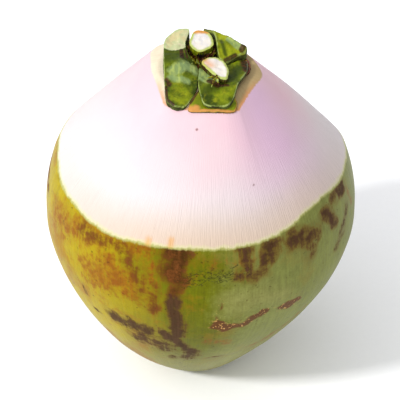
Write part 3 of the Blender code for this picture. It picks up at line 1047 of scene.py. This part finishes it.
def flesh_material(name, rind, flesh):
    """Cut flesh with a rind round it: pale fibrous ends and darker sides, with painted shade
    deepening down the sides.
    """
    material, tree, shader = new_material(name)
    here = object_place(tree)
    clouds = cloud(here, 200.0, 4.0, rough=0.6)
    threads = cloud(here, 700.0, 3.0, (1.0, 1.0, 0.15))
    crumbs = cloud(here, 1300.0, 3.0, rough=0.6)
    inset = painted(tree, "inset") + clouds.sway(1.4)
    face = blend((clouds + crumbs.sway(0.5)).ramp(0.35, 0.7), flesh, FLESH_CREAM)
    face = blend(inset.ramp(1.9, 0.5), face, FLESH_RIM)
    face = blend(painted(tree, "orange").ramp(0.1, 0.7) * 0.85, face, FLESH_ORANGE)
    sides = blend(threads.ramp(0.42, 0.58), LEAF_GREEN, rind)
    sides = shade(threads.sway(1.4) + 1.0, sides)
    sides = blend(clouds.ramp(0.52, 0.64) * 0.8, sides, LEAF_BROWN)
    # Painted shade: the sides darken to near black the deeper they lie below the cut, down into the
    # crevices round the foot.
    deep = painted(tree, "depth") + clouds.sway(2.0)
    sides = blend(deep.ramp(2.5, 7.5), sides, DRIED_AND_SHADE_DARK)
    walls = painted(tree, "side").ramp(0.35, 0.7)
    colour, rough = blend(walls, face, sides), 0.5 + crumbs.sway(0.3)
    relief = crumbs * 0.5 + threads * 0.5
    surface(shader, colour, rough, 0.2, relief, depth=0.4 * MM, strength=0.6)
    return material


def on_front_sepal(flat):
    """Underside of the bract, in metres, for places in metres."""
    return front_sepal_height(flat / MM) * MM + FOOT_LIFT


def bract_height(flat):
    """The cut across the bract, in millimetres."""
    return 195.2 + 0.10 * (flat[:, 1] + 17.0)


def stalk_stub(material, count=120):
    """The stub: an uneven oval, narrow at its foot, cut at a slant.

    Its box holds it with its lobes, so the oval itself takes a share of the box.
    """
    low, high = [np.array(corner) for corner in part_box("stalk_stub")]
    centre = (low + high) / 2.0
    half = (high - low) / 2.0
    angles = np.arange(count) / count * 2.0 * math.pi
    lobes = 1.0 + sum(depth * np.cos(waves * angles + turn) for depth, waves, turn in STUB_LOBES)
    face_height = high[2] - STUB_TILT * half[1]
    rings, side, inset, depth, orange = [], [1.0], [0.0], [9.0], [0.0]

    def ring(reach, height, is_cut, inside):
        x = centre[0] + half[0] * STUB_SHARE * reach * lobes * np.cos(angles)
        y = centre[1] + half[1] * STUB_SHARE * reach * lobes * np.sin(angles)
        face = face_height + STUB_TILT * (y - centre[1])
        z = face * height + (SEAT_HEIGHT + FOOT_LIFT) * (1.0 - height)
        points = np.column_stack([x, y, z])
        if 0.0 < height:
            points[:, 2] += roughen(points, *STUB_FACE_WAVES) * (1.0 if is_cut else 0.3)
        points[:, 0] += roughen(points + 1.0, *STUB_SIDE_WAVES)
        rings.append(points)
        side.extend([1.0 - is_cut] * count)
        inset.extend([inside] * count)
        depth.extend((face - z) / MM)
        back = np.clip((y - centre[1]) / half[1] * 2.5 - 1.2, 0.0, 1.0)
        orange.extend(back * (1.0 if inside < 2.4 else 0.3))

    for height in np.linspace(0.0, 0.94, STUB_ROWS):
        ring(STUB_NECK + 0.24 * height**0.7, height, 0.0, 0.0)
    ring(0.985, 0.985, 0.0, 0.0)
    for reach in np.linspace(0.95, 0.06, STUB_ROWS):
        ring(reach, 1.0, 1.0, (STUB_SHARE - reach) * half[0] / MM)
    first = np.array((centre[0], centre[1], SEAT_HEIGHT + FOOT_LIFT))
    last = np.array((centre[0], centre[1], face_height))
    fields = {
        "side": [*side, 0.0], "inset": [*inset, 9.0], "depth": [*depth, 0.0],
        "orange": [*orange, 0.0],
    }
    return closed_solid("stalk_stub_cut", rings, first, last, material, fields)


stub = stalk_stub(flesh_material("stalk_flesh", LEAF_OLIVE, STUB_FLESH))
bract = leaf(
    "cut_bract_slice", "cut_bract",
    [(3, -17.4), (6.6, -22.6), (10, -25.4), (12.6, -25.6), (13.6, -19), (11.6, -13),
     (8, -9.8), (3.6, -9.6), (0.2, -12.8)],
    on_front_sepal, bract_height, flesh_material("bract_flesh", LEAF_BROWN, BRACT_FLESH),
    [("orange", 5.0, 0.5, [(2, -12), (5, -16)])], rows=16, edge_round=0.5,
)
for piece, node in ((stub, "stalk_stub"), (bract, "cut_bract")):
    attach(piece, "root")
    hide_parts(node)

# ---------------------------------------------------------------------------------------
# The dry shreds. Where the knife tore the sepals away from the stalk, thin slivers of rind
# were left standing round its foot, and a few more lie under the lower edge of the bract.
# ---------------------------------------------------------------------------------------


def shred_material():
    """Dried rind, from yellow to nearly black."""
    material, tree, shader = new_material("dry_shreds")
    here = object_place(tree)
    patches = cloud(here, 230.0, 2.0)
    threads = cloud(here, 1400.0, 3.0, (1.0, 1.0, 0.3))
    colour = blend(patches.ramp(0.40, 0.50), DRIED_AND_SHADE_DARK, LEAF_BROWN)
    colour = blend(patches.ramp(0.50, 0.58), colour, LEAF_OLIVE)
    colour = blend(patches.ramp(0.58, 0.66), colour, LEAF_PALE)
    colour = shade(threads.sway(1.4) + 1.0, colour)
    rough = 0.6 + threads.sway(0.4)
    surface(shader, colour, rough, 0.15, threads, depth=0.15 * MM, strength=0.7)
    return material


def shreds(name, material, sizes):
    """Curled slivers, set at random in a ring and leaning over at random."""
    tree, size, sockets = new_tree(name, sizes)

    def random(low, high, salt):
        values = {2: low, 3: high, 8: size["Seed"] + salt}
        return flow(tree, "FunctionNodeRandomValue", values, 1, data_type="FLOAT")

    angle = random(0.0, 2.0 * math.pi, 1)
    reach = random(size["Inner reach"], size["Outer reach"], 2)
    x = angle.math("COSINE") * reach + size["Centre X"]
    y = angle.math("SINE") * reach + size["Centre Y"]
    place = combine(tree, x, y, size["Base height"])
    spots = flow(tree, "GeometryNodePoints", {"Count": size["Count"], "Position": place})
    cone = {"Vertices": 7, "Side Segments": 6, "Depth": size["Length"]}
    cone["Radius Top"] = size["Width"] * 0.12
    cone["Radius Bottom"] = size["Width"] * 0.5
    sliver = flow(tree, "GeometryNodeMeshCone", cone)
    up = flow(tree, "GeometryNodeInputPosition").part("Z")
    curl = combine(tree, up * up * size["Curl"], 0.0, 0.0)
    sliver = flow(tree, "GeometryNodeSetPosition", {"Geometry": sliver, "Offset": curl})
    values = {
        "Points": spots,
        "Instance": sliver,
        "Rotation": combine(
            tree, random(-0.5, 0.5, 3), random(size["Least lean"], size["Most lean"], 4), angle,
        ),
        "Scale": combine(tree, random(0.6, 1.5, 5), random(0.4, 1.0, 6), random(0.5, 1.2, 7)),
    }
    placed = flow(tree, "GeometryNodeInstanceOnPoints", values)
    return grown(tree, placed, material, sockets, sizes, name)


dry_rind = shred_material()
stub_low, stub_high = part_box("stalk_stub")
bract_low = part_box("cut_bract")[0]
SHREDS = {
    "stalk_shreds": {
        "Count": 80, "Seed": 4, "Inner reach": 5.2 * MM, "Outer reach": 7.4 * MM,
        "Centre X": (stub_low[0] + stub_high[0]) / 2.0,
        "Centre Y": (stub_low[1] + stub_high[1]) / 2.0,
        "Base height": SEAT_HEIGHT + 3.0 * MM, "Length": 5.0 * MM, "Width": 1.9 * MM,
        "Curl": 40.0, "Least lean": -0.25, "Most lean": 0.2,
    },
    "front_shreds": {
        "Count": 44, "Seed": 12, "Inner reach": 0.3 * MM, "Outer reach": 5.5 * MM,
        "Centre X": stub_low[0] + 4.4 * MM, "Centre Y": stub_low[1] - 1.6 * MM,
        "Base height": SEAT_HEIGHT + 2.4 * MM, "Length": 4.6 * MM, "Width": 2.0 * MM,
        "Curl": 60.0, "Least lean": -0.7, "Most lean": 0.7,
    },
    "bract_shreds": {
        "Count": 4, "Seed": 5, "Inner reach": 0.2 * MM, "Outer reach": 2.6 * MM,
        "Centre X": bract_low[0] + 7.0 * MM, "Centre Y": bract_low[1] + 1.2 * MM,
        "Base height": bract_low[2] + 2.0 * MM, "Length": 5.4 * MM, "Width": 1.7 * MM,
        "Curl": 30.0, "Least lean": 1.3, "Most lean": 1.75,
    },
}
for name, sizes in SHREDS.items():
    tuft = shreds(name, dry_rind, sizes)
    tuft.data.shade_smooth()
    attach(tuft, "root")

# ---------------------------------------------------------------------------------------
# The floor. A wide sheet of plain white paper, matt and very slightly uneven, that the
# fruit stands on.
# ---------------------------------------------------------------------------------------

HALF_SHEET = 3.0
PAPER_WHITE = linear(254, 254, 254)
PAPER_GREY = linear(250, 250, 250)
sheet = [(x * HALF_SHEET, y * HALF_SHEET, 0.0) for x, y in ((-1, -1), (1, -1), (1, 1), (-1, 1))]
floor_mesh = bpy.data.meshes.new("floor")
floor_mesh.from_pydata(sheet, [], [(0, 1, 2, 3)])
floor = in_scene("floor", floor_mesh)
paper, paper_tree, paper_shader = new_material("white_paper")
grit = cloud(object_place(paper_tree), 300.0, 3.0)
tone = blend(grit, PAPER_GREY, PAPER_WHITE)
surface(paper_shader, tone, 0.95 + grit.sway(0.1), 0.0, grit, depth=0.1 * MM, strength=0.1)
floor_mesh.materials.append(paper)

# ---------------------------------------------------------------------------------------
# The light. A soft key from the front left, a very broad fill from the same side, and a
# white room all round.
# ---------------------------------------------------------------------------------------


def soft_light(name, energy, spread_degrees, toward):
    """A light without a place, that comes from a direction and spreads over an angle."""
    data = bpy.data.lights.new(name, "SUN")
    data.energy = energy
    data.angle = math.radians(spread_degrees)
    in_scene(name, data).rotation_euler = Vector(toward).to_track_quat("Z", "Y").to_euler()


ROOM_TINT = (0.95, 0.96, 1.0, 1.0)
ROOM_STRENGTH = 0.74
soft_light("key", energy=2.5, spread_degrees=8.0, toward=(-0.69, -0.40, 0.60))
soft_light("fill", energy=0.9, spread_degrees=110.0, toward=(-0.55, -0.25, 0.80))
world = bpy.data.worlds.new("studio")
world.use_nodes = True
room = world.node_tree.nodes["Background"]
room.inputs["Color"].default_value = ROOM_TINT
room.inputs["Strength"].default_value = ROOM_STRENGTH
bpy.context.scene.world = world
bpy.context.scene.view_settings.view_transform = "Standard"

# ---------------------------------------------------------------------------------------
# The camera. It looks down on the fruit from the front, from about a metre away, through
# a long lens that barely shows perspective.
# ---------------------------------------------------------------------------------------

CAMERA_ELEVATION = math.radians(38.0)
CAMERA_DISTANCE = 0.96
CAMERA_LENS = 165.3
CAMERA_SENSOR = 36.0
CAMERA_AIM = Vector((-0.0003, 0.0021, 0.0987))
backward = Vector((0.0, -math.cos(CAMERA_ELEVATION), math.sin(CAMERA_ELEVATION)))
camera_data = bpy.data.cameras.new("camera")
camera_data.lens = CAMERA_LENS
camera_data.sensor_width = CAMERA_SENSOR
camera = in_scene("camera", camera_data)
camera.location = CAMERA_AIM + backward * CAMERA_DISTANCE
camera.rotation_euler = backward.to_track_quat("Z", "Y").to_euler()
bpy.context.scene.camera = camera
